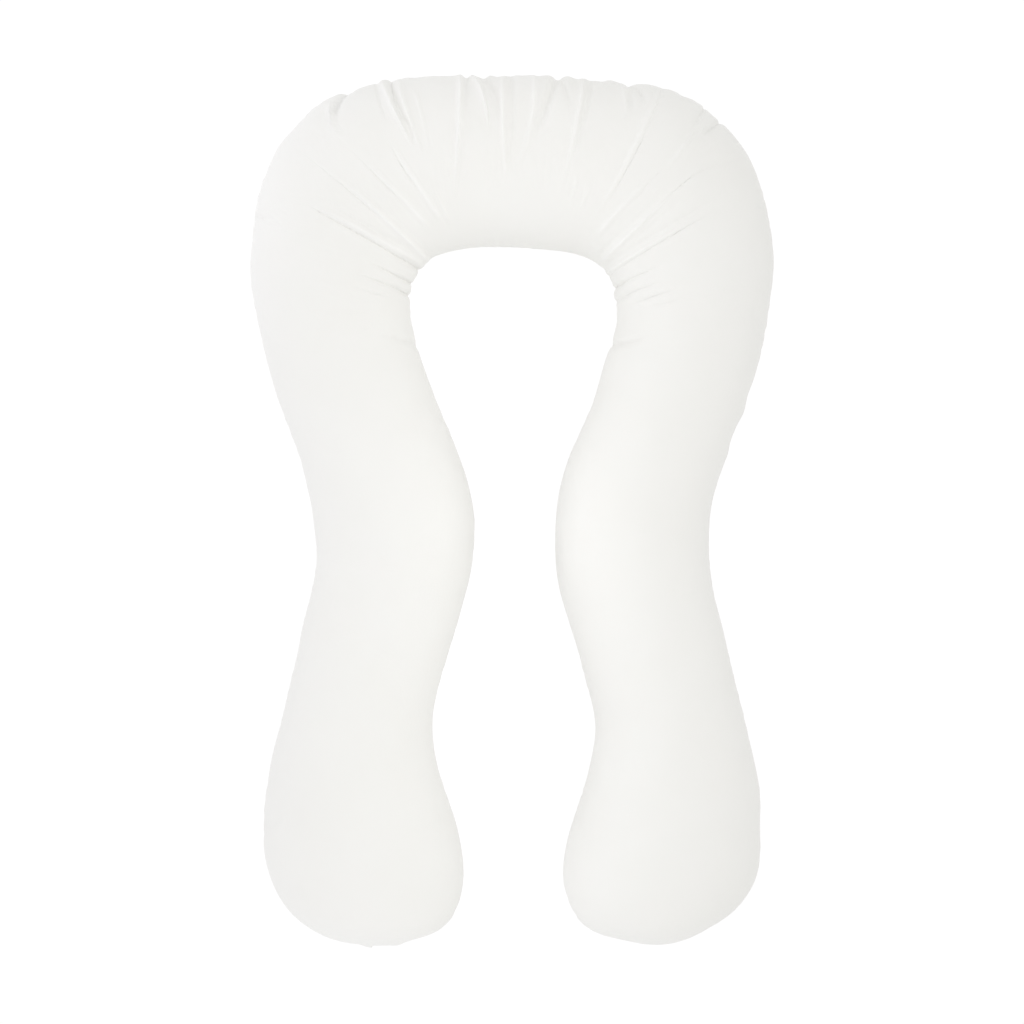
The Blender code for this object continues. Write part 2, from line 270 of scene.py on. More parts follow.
PUCKERS = tuple(
    Pucker(*sizes)
    for sizes in (
        # Over the crown, from left to right.
        (-330, 0.5, 26), (-275, -3.4, 8), (-205, 4.6, 8), (-190, -4.0, 7), (-174, 1.4, 9),
        (-161, -1.6, 7), (-90, 2.6, 8), (-72, -1.8, 8), (-56, 3.6, 7), (-38, 4.0, 7),
        (-19, -2.2, 8), (1, 3.4, 11), (26, 0.6, 8), (44, -4.2, 9), (61, -0.4, 8), (76, -2.8, 8),
        (93, 1.2, 9), (112, -4.6, 9), (127, 2.6, 8), (145, -5.0, 9), (164, 3.8, 11),
        (190, -3.6, 10), (226, 2.6, 16), (249, -2.0, 6), (264, 0.8, 8), (283, -3.0, 8),
        (298, 1.8, 9), (318, 3.0, 9), (333, -4.2, 8), (352, -0.6, 12),
        # Down the right arm, and along the left toe.
        (390, -3.6, 14, 195), (384, 2.8, 14, 162), (364, -2.6, 14, 120), (356, 1.4, 14, 90),
        (-266, -2.8, 9, -717), (-240, 4.2, 10, -724), (-213, -2.2, 9, -721),
        (-187, 3.8, 10, -718), (-150, -3.2, 12, -707),
    )
)


@dataclass(frozen=True)
class Lump:
    """A place where the stuffing stands up, or sinks if rise is negative. In mm, in plan."""

    name: str
    centre: Point
    radius: float
    rise: float


LUMPS = (
    Lump("left corner hollow", (-312, 600), 42, -4),
    Lump("left corner fullness", (-376, 596), 42, 3),
    Lump("left waist hollow", (-280, -70), 42, -6),
    Lump("left thigh hollow", (-282, -165), 36, -4),
    Lump("left waist fullness", (-118, -10), 75, 4),
    Lump("left calf hollow", (-262, -310), 55, -2),
    Lump("left foot dent", (-384, -512), 40, -3),
    Lump("left foot fullness", (-190, -600), 90, 2),
    Lump("right waist hollow", (284, -20), 48, -5),
    Lump("right thigh hollow", (306, -150), 46, -3),
    Lump("right waist fullness", (120, 20), 64, 3),
    Lump("right calf fullness", (230, -330), 70, 3),
    Lump("right foot dent", (370, -520), 46, -6),
    Lump("right foot hollow", (250, -620), 60, -3),
)


# -------- Curves and grids


def bell(x: Floats) -> Floats:
    """A soft hump: exp(-x^2)."""
    return np.exp(-(x**2))


def run_length(line: Floats) -> Floats:
    """Distance travelled along a polyline's points, starting at 0."""
    return np.r_[0.0, np.cumsum(np.linalg.norm(np.diff(line, axis=0), axis=1))]


def closed_round(rings: Floats) -> Floats:
    """A grid of rings with the first point of each repeated after its last one."""
    return np.concatenate([rings, rings[:, :1]], axis=1)


def natural_spline(knots: Floats, values: Floats, at: Floats) -> Floats:
    """Reads a natural cubic spline.

    Between two knots its second derivative runs straight from one knot's bend to the next
    one's. The bends solve the usual tridiagonal system, with none at the ends.

    Args:
        knots: Where the values are, rising, shape (k,).
        values: What the curve passes through, shape (k, c).
        at: Where to read it, shape (n,).

    Returns:
        The curve's values, shape (n, c).
    """
    gaps = np.diff(knots)
    system = np.diag(np.r_[1.0, 2 * (gaps[:-1] + gaps[1:]), 1.0])
    system += np.diag(np.r_[0.0, gaps[1:]], 1) + np.diag(np.r_[gaps[:-1], 0.0], -1)
    target = np.zeros_like(values)
    target[1:-1] = 6 * np.diff(np.diff(values, axis=0) / gaps[:, None], axis=0)
    bends = np.linalg.solve(system, target)
    k = np.clip(np.searchsorted(knots, at, side="right") - 1, 0, len(gaps) - 1)
    gap = gaps[k, None]
    left = knots[k + 1, None] - at[:, None]
    right = at[:, None] - knots[k, None]
    cubic = (bends[k] * left**3 + bends[k + 1] * right**3) / (6 * gap)
    straight = (values[k] / gap - bends[k] * gap / 6) * left
    return cubic + straight + (values[k + 1] / gap - bends[k + 1] * gap / 6) * right


def surface_normals(points: Floats) -> Floats:
    """Works out a tube's outward unit normals, square to the steps along and round it.

    Args:
        points: The grid, shape (stations, ring points, 3), closed round.

    Returns:
        The normals, of the same shape.
    """
    along = np.gradient(points, axis=0)
    around = (np.roll(points, -1, axis=1) - np.roll(points, 1, axis=1)) / 2
    normals = np.cross(around, along)
    return normals / np.maximum(np.linalg.norm(normals, axis=2, keepdims=True), TINY)


def moving_mean(values: Floats, reach: int, around: bool) -> Floats:
    """Mean over 2 reach + 1 neighbours along the first axis.

    Args:
        values: The values, shape (n, m).
        reach: How many neighbours count on each side.
        around: Whether the ends meet, or the end values go on.

    Returns:
        The means, shape (n, m).
    """
    padded = np.pad(values, ((reach + 1, reach), (0, 0)), mode="wrap" if around else "edge")
    total = np.cumsum(padded, axis=0)
    width = 2 * reach + 1
    return (total[width:] - total[:-width]) / width


def fold_curve(fold: Fold, steps: int = 14, reach: float = 0.055) -> Floats:
    """Draws a fold in plan: the parabola through its three points, led back past its start.

    Args:
        fold: The fold.
        steps: How many points the parabola gets.
        reach: How far the line is led back, in metres, to carry it over the rim.

    Returns:
        The line's points in metres, shape (steps + 1, 2).
    """
    start, bend, end = (np.array(point) * MM for point in (fold.start, fold.bend, fold.end))
    t = np.linspace(0, 1, steps)[:, None]
    line = start * (2 * t - 1) * (t - 1) + bend * 4 * t * (1 - t) + end * t * (2 * t - 1)
    back = (line[0] - line[1]) / np.linalg.norm(line[0] - line[1])
    return np.vstack([start + back * (MM if fold.fade_in else reach), line])


def along_line(line: Floats, plan: Floats) -> tuple[Floats, Floats, Floats]:
    """Places points along a line.

    Args:
        line: The line's points, shape (k, 2), of which the second one is its start.
        plan: The points, shape (n, 2).

    Returns:
        How far each point is to the line's left, how far along it from its start, and the
        vector from the point to the line.
    """
    travelled = run_length(line)
    travelled -= travelled[1]
    gap = np.full(len(plan), np.inf)
    side, reached = np.zeros((2, len(plan)))
    back = np.zeros_like(plan)
    for k, step in enumerate(np.diff(line, axis=0)):
        length = float(np.linalg.norm(step))
        offset = plan - line[k]
        share = np.clip(offset @ step / length**2, 0, 1)
        away = offset - share[:, None] * step
        distance = np.linalg.norm(away, axis=1)
        nearer = distance < gap
        gap = np.where(nearer, distance, gap)
        side = np.where(nearer, np.sign(step[0] * offset[:, 1] - step[1] * offset[:, 0]), side)
        reached = np.where(nearer, travelled[k] + share * length, reached)
        back[nearer] = -away[nearer]
    return gap * side, reached, back


def fold_shift(
    fold: Fold,
    plan: Floats,
    taper: float = 0.5,
    at_rim: float = 0.5,
    rim: float = 0.03,
    gather: float = 0.0018,
) -> tuple[Floats, Floats]:
    """Works out how one fold moves points of the face.

    With d the distance from the line, s the share of its length and w the fold's width, the
    roll is height exp(-(3 d / w - 3 / 2)^2) on its side, or height exp(-(2 d / w)^2) on the
    line, and the crease is -crease exp(-(sqrt(d^2 + 1) - 1) / half_crease), all in mm. Both
    are times 1 - s^3, and their widths shrink by taper s. A roll from a seam rises from at_rim
    of its height to all of it over rim. Points near a crease move on to it by exp(-(d /
    gather)^2) of their distance, which keeps it crisp.

    Args:
        fold: The fold.
        plan: The points in plan, in metres, shape (n, 2).
        taper: How much narrower the fold is at its end.
        at_rim: How much of a roll's height stands at the seam.
        rim: How far from the seam a roll has its full height, in metres.
        gather: How near a crease points move on to it, in metres.

    Returns:
        The lift along the surface's normal, shape (n,), and the shift in plan, shape (n, 2).
    """
    line = fold_curve(fold)
    left, reached, back = along_line(line, plan)
    s = np.clip(reached / run_length(line[1:])[-1], 0, 1)
    narrow = 1 - taper * s
    d = left / MM
    share = d / (fold.width * narrow)
    if fold.roll is Roll.ON_THE_LINE:
        rolled = bell(2 * share)
    else:
        rolled = bell(3 * share * fold.roll.value - 1.5)
    cut = np.exp(-(np.sqrt(d**2 + 1) - 1) / (fold.half_crease * narrow))
    strength = 1 - s**3
    if fold.fade_in:
        strength = strength * np.clip(reached / (fold.fade_in * MM), 0, 1)
    elif fold.height > 0:
        rolled = rolled * np.clip(at_rim + (1 - at_rim) * reached / rim, at_rim, 1)
    near = bell(left / gather) * (reached > 0) * (s < 1) * (fold.crease > 0)
    lift = (fold.height * rolled - fold.crease * cut) * strength * MM
    return lift, back * near[:, None]


def scallops(seam: Floats) -> Floats:
    """How far all the puckers together move each point of a seam, in metres."""
    return sum(pucker.scallop(seam) for pucker in PUCKERS)


@dataclass(frozen=True)
class Stations:
    """Where the cover's rings stand, in metres, one line of each array a ring, and its toe tips."""

    places: Floats
    outer: Floats
    inner: Floats
    crown: Floats
    fill_in: Floats
    tips: Floats


@dataclass(frozen=True)
class CutPattern:
    """The cover's pattern, cut on the fold, and laid out from the left toe to the right one."""

    rows: tuple[PatternRow, ...] = HALF_PATTERN
    coarseness: float = 1.0
    widest: float = 0.010
    steps_per_row: int = 20

    def laid_out(self) -> Floats:
        """Lays out the left half, the crown and the right half.

        Returns:
            Lines of outer x, y, inner x, y, crown, fill_in and spacing in metres, one per row.
        """
        lines = []
        for side, rows in ((-1, self.rows), (1, self.rows[-2::-1])):
            for row in rows:
                flip = np.array([side, 1])
                across = (np.array(row.outer) - row.inner) * flip
                across = across / max(float(np.linalg.norm(across)), 1.0)
                drop = np.array([0, side * row.drop])
                outer, inner = (
                    np.array(seam) * flip - side * lean * across + drop
                    for seam, lean in zip((row.outer, row.inner), row.lean)
                )
                lines.append([*outer, *inner, row.crown, row.fill_in, row.spacing])
        return np.array(lines) * MM

    def stations(self) -> Stations:
        """Spreads the rings along the tube, closer where a row asks for it.

        One more row past each toe tip has its seams exchanged and its crown turned over, which
        rounds the toe. The count of rings is the integral of 1 / spacing, made even.

        Returns:
            The stations, and the two toe tips, which close the cover as poles.
        """
        rows = self.laid_out()
        exchanged = [2, 3, 0, 1, 4, 5, 6]
        turned = np.array([1, 1, 1, 1, -1, -1, 1])
        table = np.vstack([rows[1, exchanged] * turned, rows, rows[-2, exchanged] * turned])
        knots = (run_length(table[:, 0:2]) + run_length(table[:, 2:4])) / 2

        along = np.linspace(knots[1], knots[-2], self.steps_per_row * len(table))
        rim = run_length(natural_spline(knots, table[:, 0:2], along))
        spacing = np.interp(along, knots, table[:, 6])
        spacing = np.minimum(spacing * self.coarseness, self.widest)
        rings = np.r_[0.0, np.cumsum(np.diff(rim) / ((spacing[1:] + spacing[:-1]) / 2))]
        count = 2 * round(rings[-1] / 2) + 1
        places = np.interp(np.linspace(0, rings[-1], count + 1)[1:-1], rings, along)
        read = natural_spline(knots, table, places)
        tips = rows[[0, -1], 0:2]
        return Stations(places, read[:, 0:2], read[:, 2:4], read[:, 4], read[:, 5], tips)


# -------- The cover


@dataclass
class PillowCover:
    """The sewn and stuffed cotton cover, which is all of the pillow that shows.

    Its rings have face_points over the face and under_points below it, and the steps between
    them grow by growth from each seam, to at most face_widest or under_widest times the first.
    """

    node: str = "pillow"
    body: str = "root"
    material_slot: str = "cotton"
    fill: float = 0.85
    pattern: CutPattern = field(default_factory=CutPattern)
    folds: tuple[Fold, ...] = FOLDS
    fold_fade: float = 0.050
    face_fade: float = 0.030
    felt_widths: float = 3.5
    # Roll height in mm from which a roll's crest gets the full painted highlight.
    highlight_height: float = 3.0
    seam_height: float = 0.086
    press: float = 1.22
    flatten: float = 0.007
    section_power: float = 2.25
    seam_draw: float = 0.005
    seam_softness: float = 0.006
    pucker_depth: float = 0.00036
    pucker_reach: float = 0.022
    pucker_waves: Point = (0.011, 0.034)
    pucker_count: int = 4
    pucker_lull: float = 0.21
    pucker_seed: int = 7
    crumple_depth: float = 0.0009
    crumple_waves: Point = (0.055, 0.16)
    crumple_middling: float = 0.1
    crumple_count: int = 22
    crumple_seed: int = 11
    face_points: int = 50
    under_points: int = 28
    growth: float = 1.36
    face_widest: float = 7.0
    under_widest: float = 12.0
    middling_half: float = 0.145
    middling_crown: float = 0.100
    middling_steps: int = 4001
    panel_gap: float = 2.0
    stations: Stations = field(init=False)

    def __post_init__(self) -> None:
        """Spreads the rings once, for all the steps that need them."""
        self.stations = self.pattern.stations()

    def loosely_folded(self, wider: float = 1.6, blunter: float = 2.0) -> PillowCover:
        """Makes the same cover with softer folds on a coarser grid, for the stuffing to press.

        Args:
            wider: How many times as wide its folds are.
            blunter: How much further its creases reach besides, in mm.

        Returns:
            The coarse cover.
        """
        folds = tuple(
            replace(fold, half_crease=wider * fold.half_crease + blunter, width=wider * fold.width)
            for fold in self.folds
        )
        return replace(
            self,
            pattern=replace(self.pattern, coarseness=2.3, widest=0.009),
            folds=folds,
            face_points=34,
            under_points=20,
            face_widest=3.0,
            under_widest=3.0,
        )

    def section(self, angles: Floats) -> tuple[Floats, Floats]:
        """Works out a superellipse's parts, cos(a)^(2/p) and sin(a)^(2/p), with their signs.

        Args:
            angles: The angles.

        Returns:
            The part across and the part up, which is times press where it is under the seam.
        """
        cosine, sine = np.cos(angles), np.sin(angles)
        sine[np.abs(sine) < TINY] = 0.0
        power = 2 / self.section_power
        up = np.sign(sine) * np.abs(sine) ** power
        return np.sign(cosine) * np.abs(cosine) ** power, np.where(up < 0, up * self.press, up)

    def ring_angles(self) -> Floats:
        """Angles of the ring points, spread along the cloth and closer near the seams.

        They are read off the length of a middling section.

        Returns:
            Angles from 0 at the outer seam, pi at the inner one, to just short of 2 pi.
        """
        parts = []
        for first, count, widest in (
            (0.0, self.face_points, self.face_widest),
            (math.pi, self.under_points, self.under_widest),
        ):
            steps = np.minimum(self.growth ** np.arange(count // 2), widest)
            steps = np.concatenate([steps, steps[::-1]])
            shares = np.r_[0.0, np.cumsum(steps)[:-1]] / steps.sum()
            angles = first + np.linspace(0, 1, self.middling_steps) ** 2 * (math.pi / 2)
            angles = np.concatenate([angles, 2 * first + math.pi - angles[-2::-1]])
            across, up = self.section(angles)
            run = run_length(np.stack([across * self.middling_half, up * self.middling_crown], 1))
            parts.append(np.interp(shares, run / run[-1], angles))
        return np.concatenate(parts)

    def stuffed(self) -> Floats:
        """Stuffs the cover, with no fold in it yet.

        A ring is a superellipse over the chord between its seam points: cos(a)^(2/p) across,
        and crown sin(a)^(2/p) up, times press under the seam. On the face, the crown is moved
        along the chord by fill_in, and both quarters are stretched to meet there.

        Returns:
            The rings' points, shape (stations, ring points, 3), not yet flat underneath.
        """
        across, up = self.section(self.ring_angles())
        rings = self.stations
        middle = (rings.outer + rings.inner) / 2
        half = (rings.outer - rings.inner) / 2
        width = np.linalg.norm(half, axis=1)
        shift = (rings.fill_in / width)[:, None] * (up > 0)
        place = across * (1 + shift * np.sign(across)) - shift
        plan = middle[:, None] + half[:, None] * place[..., None]
        height = self.seam_height + rings.crown[:, None] * up
        return np.concatenate([plan, height[..., None]], axis=2)

    def poles(self) -> Floats:
        """The two toe tips at the seam's height, where the cover closes, shape (2, 3)."""
        return np.hstack([self.stations.tips, np.full((2, 1), self.seam_height)])

    def ring_run(self, points: Floats) -> tuple[Floats, Floats]:
        """Measures the cloth round each ring, from its outer seam.

        Args:
            points: The grid.

        Returns:
            The distance of each ring point and of the way right round, shape (stations, ring
            points + 1), and that of the inner seam, shape (stations, 1).
        """
        steps = np.linalg.norm(np.diff(closed_round(points), axis=1), axis=2)
        run = np.concatenate([np.zeros((len(points), 1)), np.cumsum(steps, axis=1)], axis=1)
        return run, run[:, self.face_points, None]

    def seam_gap(self, points: Floats) -> Floats:
        """Distance of each point from the nearer seam, measured along its ring."""
        run, inner = self.ring_run(points)
        here = run[:, :-1]
        return np.minimum(np.minimum(here, np.abs(here - inner)), run[:, -1:] - here)

    def on_face(self, heights: Floats) -> Floats:
        """How much each height belongs to the face: 0 at the seam, 1 from face_fade above it."""
        return np.clip((heights - self.seam_height) / self.face_fade, 0, 1)

    def near_fold(self, fold: Fold, plan: Floats) -> np.ndarray:
        """Which points are within felt_widths of a fold's line, and so feel it."""
        line = fold_curve(fold)
        margin = self.felt_widths * max(fold.width, 2 * fold.half_crease) * MM
        return np.all((plan > line.min(0) - margin) & (plan < line.max(0) + margin), axis=1)

    def crest_highlight(self, points: Floats) -> Floats:
        """Where a highlight is painted on the crests of the rolls, and how strongly.

        On a roll it is the square of the share of its height reached, and less on one lower
        than the height set for a full highlight, in mm. The stronger one of two rolls counts.

        Args:
            points: The stuffed grid.

        Returns:
            The painted highlight's strength at each point, from 0 to 1, shape (stations times ring
            points,).
        """
        flat = points.reshape(-1, 3)
        painted_highlight = np.zeros(len(flat))
        for fold in self.folds:
            if fold.height > 0:
                near = self.near_fold(fold, flat[:, 0:2])
                ridge, _ = fold_shift(replace(fold, crease=0.0, height=1.0), flat[near, 0:2])
                here = (ridge / MM) ** 2 * min(fold.height / self.highlight_height, 1.0)
                painted_highlight[near] = np.maximum(painted_highlight[near], here)
        return painted_highlight * self.on_face(flat[:, 2])

    def folded(self, points: Floats) -> Floats:
        """Sews the seams in and lays every fold, along the stuffed surface's normals.

        Args:
            points: The stuffed grid.

        Returns:
            The grid with its seams drawn in by seam_draw exp(-gap / seam_softness), its folds,
            its lumps, each rise exp(-(distance / radius)^2), its crumple and its puckers.
        """
        flat = points.reshape(-1, 3)
        plan = flat[:, 0:2]
        lift = np.zeros(len(flat))
        shift = np.zeros_like(plan)
        for fold in self.folds:
            near = self.near_fold(fold, plan)
            rise, pull = fold_shift(fold, plan[near])
            lift[near] += rise
            shift[near] += pull
        for lump in LUMPS:
            away = np.linalg.norm(plan - np.array(lump.centre) * MM, axis=1)
            lift += lump.rise * MM * bell(away / (lump.radius * MM))
        lift *= 1 - np.clip((self.seam_height - flat[:, 2]) / self.fold_fade, 0, 1)
        gap = self.seam_gap(points).ravel()
        lift += self.crumple(flat)
        lift += self.puckers(points).ravel() * bell(gap / self.pucker_reach)
        lift -= self.seam_draw * np.exp(-gap / self.seam_softness)
        moved = flat + surface_normals(points).reshape(-1, 3) * lift[:, None]
        moved[:, 0:2] += shift * self.on_face(flat[:, 2])[:, None]
        return moved.reshape(points.shape)

    def puckers(self, points: Floats) -> Floats:
        """Scallops the rim: the named puckers, and fine seeded ones along every seam.

        The fine ones are pucker_count sines of the distance along the seam, and a slow sine,
        pucker_lull long, lets them come and go.

        Args:
            points: The grid.

        Returns:
            The lift of each grid point if it lay on the seam, shape (stations, ring points).
        """
        rng = np.random.default_rng(self.pucker_seed)
        lift = np.zeros(points.shape[:2])
        over, below = self.face_points // 2, -self.under_points // 2
        for seam, nearby in (
            (0, slice(0, over)),
            (0, slice(below, None)),
            (self.face_points, slice(over, below)),
        ):
            line = points[:, seam]
            along = run_length(line)
            fine = np.zeros(len(along))
            for wave in rng.uniform(*self.pucker_waves, self.pucker_count):
                fine += np.sin(2 * np.pi * along / wave + rng.uniform(0, 2 * np.pi))
            slow = np.sin(2 * np.pi * along / self.pucker_lull + rng.uniform(0, 2 * np.pi))
            fine = self.pucker_depth * fine * (0.5 + 0.5 * slow)
            lift[:, nearby] += (fine + scallops(line))[:, None]
        return lift

    def crumple(self, places: Floats) -> Floats:
        """Works out the slight unevenness of hand-stuffed cloth: a sum of seeded plane waves.

        Args:
            places: The points, in metres, shape (n, 3).

        Returns:
            Their lift in metres, of which each wave has a part in keeping with its length.
        """
        rng = np.random.default_rng(self.crumple_seed)
        lift = np.zeros(len(places))
        for wave in rng.uniform(*self.crumple_waves, self.crumple_count):
            heading = rng.normal(size=3)
            heading *= 2 * np.pi / (wave * np.linalg.norm(heading))
            lift += np.sin(places @ heading + rng.uniform(0, 2 * np.pi)) * wave
        return lift * self.crumple_depth / (self.crumple_middling * math.sqrt(self.crumple_count))

    def laid_down(self, points: Floats) -> Floats:
        """Flattens the underside where it lies on the surface.

        Args:
            points: The grid.

        Returns:
            The grid. Heights over flatten stay, those under -flatten are 0, and between them
            they ease in as (height + flatten)^2 / (4 flatten).
        """
        laid = points.copy()
        height = laid[..., 2]
        eased = (height + self.flatten) ** 2 / (4 * self.flatten)
        low = np.where(height < -self.flatten, 0.0, eased)
        laid[..., 2] = np.where(height > self.flatten, height, low)
        return laid

    def panel_places(self, points: Floats) -> tuple[Floats, Floats]:
        """Lays both panels flat, as they were cut, with the grain along Y.

        Each ring's cloth runs straight to both sides from the middle of its chord, for its own
        length. The under panel lies beside the face, panel_gap off.

        Args:
            points: The finished grid.

        Returns:
            Where each column of faces starts and ends on the cloth, in metres, both
            (stations, ring points, 2).
        """
        run, inner = self.ring_run(points)
        chord = self.stations.outer - self.stations.inner
        chord = (chord / np.linalg.norm(chord, axis=1, keepdims=True))[:, None]
        middle = ((self.stations.outer + self.stations.inner) / 2)[:, None]
        face = inner / 2 - run[:, : self.face_points + 1]
        under = run[:, self.face_points :] - (run[:, -1:] + inner) / 2
        face = middle + chord * face[..., None]
        under = middle + chord * under[..., None] + [self.panel_gap, 0]
        starts = np.concatenate([face[:, :-1], under[:, :-1]], axis=1)
        ends = np.concatenate([face[:, 1:], under[:, 1:]], axis=1)
        return starts, ends

    def build(self, stuffing: Stuffing) -> Object:
        """Makes the cover's mesh, centred over the origin as the solid is.

        Args:
            stuffing: What presses the cloth out.

        Returns:
            The cover's object, with the panels' map, the seam gap and the crests' painted highlight.
        """
        stuffed = self.stuffed()
        folded = self.folded(stuffed)
        folded += surface_normals(folded) * stuffing.relief(self)[..., None]
        points = self.laid_down(folded)
        tips = self.poles()
        tips[:, 1] += self.seam_draw - scallops(tips)
        plan = points[..., 0:2].reshape(-1, 2)
        middle = (plan.min(axis=0) + plan.max(axis=0)) / 2
        points[..., 0:2] -= middle
        tips[:, 0:2] -= middle
        cover = closed_tube("pillow_cover", points, tips)
        map_panels(cover.data, *self.panel_places(points))
        # The second mark tells the cotton where to paint a highlight on the rolls' crests.
        marks = {"seam_gap": self.seam_gap(points).ravel(), "crest_highlight": self.crest_highlight(stuffed)}
        for name, values in marks.items():
            attribute = cover.data.attributes.new(name, "FLOAT", "POINT")
            attribute.data.foreach_set("value", np.r_[values, 0, 0].astype(np.float32))
        return cover

    def dress(self, cover: Object, cotton: Cotton) -> None:
        """Gives the cover its cotton and tells the frame what it stands for.

        Args:
            cover: The cover's object.
            cotton: Its finish.
        """
        cover.data.materials.append(cotton.material())
        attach(cover, self.body)
        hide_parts(self.node)


def place_object(name: str, data: bpy.types.ID) -> Object:
    """Puts a mesh, lamp or camera into the scene as an object of that name."""
    placed = bpy.data.objects.new(name, data)
    bpy.context.scene.collection.objects.link(placed)
    return placed


def closed_tube(name: str, points: Floats, tips: Floats) -> Object:
    """Makes an object of a grid that is closed round and capped by a fan at each end.

    Args:
        name: The object's name.
        points: The grid, shape (stations, ring points, 3).
        tips: The two poles, shape (2, 3).

    Returns:
        The object, shaded smooth, with its faces pointing out.
    """
    stations, around = points.shape[:2]
    ring = np.arange(stations * around).reshape(stations, around)
    ahead = np.roll(ring, -1, axis=1)
    quads = np.stack([ring[:-1], ahead[:-1], ahead[1:], ring[1:]], axis=-1).reshape(-1, 4)
    start_fan = np.stack([np.full(around, ring.size), ahead[0], ring[0]], axis=-1)
    end_fan = np.stack([np.full(around, ring.size + 1), ring[-1], ahead[-1]], axis=-1)
    vertices = np.vstack([points.reshape(-1, 3), tips])
    faces = [face for part in (quads, start_fan, end_fan) for face in part.tolist()]
    mesh = bpy.data.meshes.new(name)
    mesh.from_pydata(vertices.tolist(), [], faces)
    mesh.validate()
    mesh.shade_smooth()
    return place_object(name, mesh)


def map_panels(mesh: bpy.types.Mesh, starts: Floats, ends: Floats) -> None:
    """Gives a closed tube's mesh a map of its panels, in metres of cloth.

    Args:
        mesh: The tube's mesh, as closed_tube makes it.
        starts: Where each column of faces starts on the cloth, shape (stations, columns, 2).
        ends: Where it ends.
    """
    quads = np.stack([starts[:-1], ends[:-1], ends[1:], starts[1:]], axis=2)
    first, last = (np.broadcast_to(row.mean(axis=0), row.shape) for row in starts[[0, -1]])
    start_fan = np.stack([first, ends[0], starts[0]], axis=1)
    end_fan = np.stack([last, starts[-1], ends[-1]], axis=1)
    places = np.concatenate([part.reshape(-1, 2) for part in (quads, start_fan, end_fan)])
    panels = mesh.uv_layers.new(name="panels", do_init=False)
    panels.uv.foreach_set("vector", places.astype(np.float32).ravel())


@dataclass(frozen=True)
class Stuffing:
    """Hollow-fibre stuffing, whose pressure puffs the cloth between its creases.

    A cloth simulation presses out a coarser copy of the cover. Its seams and what it lies on
    are held, and over the crown its cloth is over-long and buckles. Only the small forms that
    come of it are kept.
    """

    frames: int = 20
    pressure: float = 4.0
    over_long: float = -0.035
    over_long_from: float = 0.46
    over_long_full: float = 0.62
    over_long_levels: int = 10
    cloth_mass: float = 0.3
    stiffness: float = 20.0
    shear: float = 10.0
    bending: float = 0.3
    bending_damping: float = 1.0
    air_damping: float = 4.0
    held_below: float = 0.004
    broad: int = 9
    broad_around: int = 3
    broad_passes: int = 2
    seam_reach: float = 0.016
    most: float = 0.006

    def hang_cloth(self, bag: Object, points: Floats, face_points: int) -> None:
        """Puts the cloth simulation on the coarse cover.

        Args:
            bag: The coarse cover.
            points: Its grid.
            face_points: Which ring point is the inner seam.
        """
        ring = np.arange(points[..., 0].size).reshape(points.shape[:2])
        low = ring[points[..., 2] < self.held_below]
        held = np.unique(np.r_[ring[:, 0], ring[:, face_points], low, ring.size, ring.size + 1])
        bag.vertex_groups.new(name="held").add(held.tolist(), 1.0, "REPLACE")
        crown = (points[..., 1] - self.over_long_from) / (self.over_long_full - self.over_long_from)
        level = np.round(self.over_long_levels * np.clip(crown, 0, 1))
        fullness = bag.vertex_groups.new(name="over_long")
        for step in range(1, self.over_long_levels + 1):
            share = step / self.over_long_levels
            fullness.add(ring[level == step].tolist(), share, "REPLACE")
        cloth = bag.modifiers.new("cloth", "CLOTH")
        cloth.point_cache.frame_end = self.frames
        cloth.collision_settings.use_collision = False
        settings = cloth.settings
        settings.mass = self.cloth_mass
        settings.tension_stiffness = settings.compression_stiffness = self.stiffness
        settings.tension_damping = settings.compression_damping = self.stiffness / 2
        settings.shear_stiffness = settings.shear_damping = self.shear
        settings.bending_stiffness = self.bending
        settings.bending_damping = self.bending_damping
        settings.air_damping = self.air_damping
        settings.effector_weights.gravity = 0
        settings.use_pressure = True
        settings.uniform_pressure_force = self.pressure
        settings.vertex_group_mass = "held"
        settings.vertex_group_shrink = "over_long"
        settings.shrink_min = 0.0
        settings.shrink_max = self.over_long

    def pressed(self, points: Floats, tips: Floats, face_points: int) -> Floats:
        """Runs the simulation.

        Args:
            points: The coarse cover's grid.
            tips: Its two poles.
            face_points: Which ring point is the inner seam.

        Returns:
            The grid after the last frame.
        """
        scene = bpy.context.scene
        bag = closed_tube("stuffed_bag", points, tips)
        self.hang_cloth(bag, points, face_points)
        for frame in range(1, self.frames + 1):
            scene.frame_set(frame)
        settled = bag.evaluated_get(bpy.context.evaluated_depsgraph_get()).data
        places = np.empty(3 * len(settled.vertices), np.float32)
        settled.vertices.foreach_get("co", places)
        mesh = bag.data
        bpy.data.objects.remove(bag)
        bpy.data.meshes.remove(mesh)
        scene.frame_set(1)
        return places[: points.size].reshape(points.shape)

    def relief(self, cover: PillowCover) -> Floats:
        """Works out how far the stuffing lifts each point of the cover.

        The simulated lift loses its own moving mean, which would swell the whole cover, is
        capped, fades out at the seams, and is read at the cover's points by splines.

        Args:
            cover: The cover on its fine grid.

        Returns:
            The lift in metres, shape (stations, ring points).
        """
        coarse = cover.loosely_folded()
        points = coarse.laid_down(coarse.folded(coarse.stuffed()))
        offset = self.pressed(points, coarse.poles(), coarse.face_points) - points
        lift = np.sum(offset * surface_normals(points), axis=2)
        broad = lift
        for _ in range(self.broad_passes):
            broad = moving_mean(broad, self.broad, around=False)
            broad = moving_mean(broad.T, self.broad_around, around=True).T
        lift = self.most * np.tanh((lift - broad) / self.most)
        lift *= 1 - bell(coarse.seam_gap(points) / self.seam_reach)

        along = natural_spline(coarse.stations.places, lift, cover.stations.places)
        coarse_turn = np.r_[coarse.ring_angles(), 2 * math.pi]
        return natural_spline(coarse_turn, closed_round(along).T, cover.ring_angles()).T


# -------- Finishes


